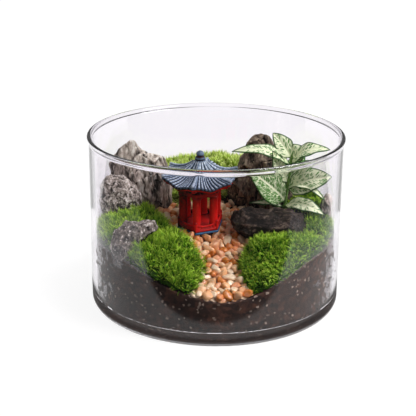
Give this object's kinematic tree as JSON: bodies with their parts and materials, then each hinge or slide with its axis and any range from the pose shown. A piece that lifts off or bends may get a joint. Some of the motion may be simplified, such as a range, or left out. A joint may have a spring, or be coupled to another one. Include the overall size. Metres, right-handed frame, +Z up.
{
  "type": "planted glass terrarium bowl",
  "caption": "Straight-sided glass bowl planted as a small landscape: banked soil, moss, gravel path, stones, a painted pavilion and a white-veined nerve plant.",
  "frame": {"origin": "centre of the bowl's flat underside", "axes": "+Z up out of the bowl, -Y towards the viewer, where the gravel path reaches the glass, +X to the viewer's right"},
  "size_m": [0.18, 0.18, 0.1239],
  "materials": {
    "glass": "polished",
    "soil": "matte",
    "gravel": "satin",
    "moss": "matte",
    "grey_stone": "matte",
    "dark_stone": "matte",
    "red_paint": "satin",
    "blue_paint": "satin",
    "leaf": "satin"
  },
  "bodies": {
    "root": {"glass_bowl": "glass", "soil": "soil", "gravel_path": "gravel", "moss_front_left": "moss", "moss_left": "moss", "moss_front_right": "moss", "moss_right": "moss", "moss_back": "moss", "rock_tall_left": "grey_stone", "rock_round_left": "grey_stone", "rock_wedge_left": "grey_stone", "rock_tall_right": "dark_stone", "rock_second_right": "dark_stone", "rock_small_right": "grey_stone", "rock_flat_right": "dark_stone", "pavilion_plinth": "blue_paint", "pavilion_body": "red_paint", "pavilion_roof": "blue_paint", "pavilion_finial": "blue_paint", "nerve_plant": "leaf"}
  },
  "joints": []
}
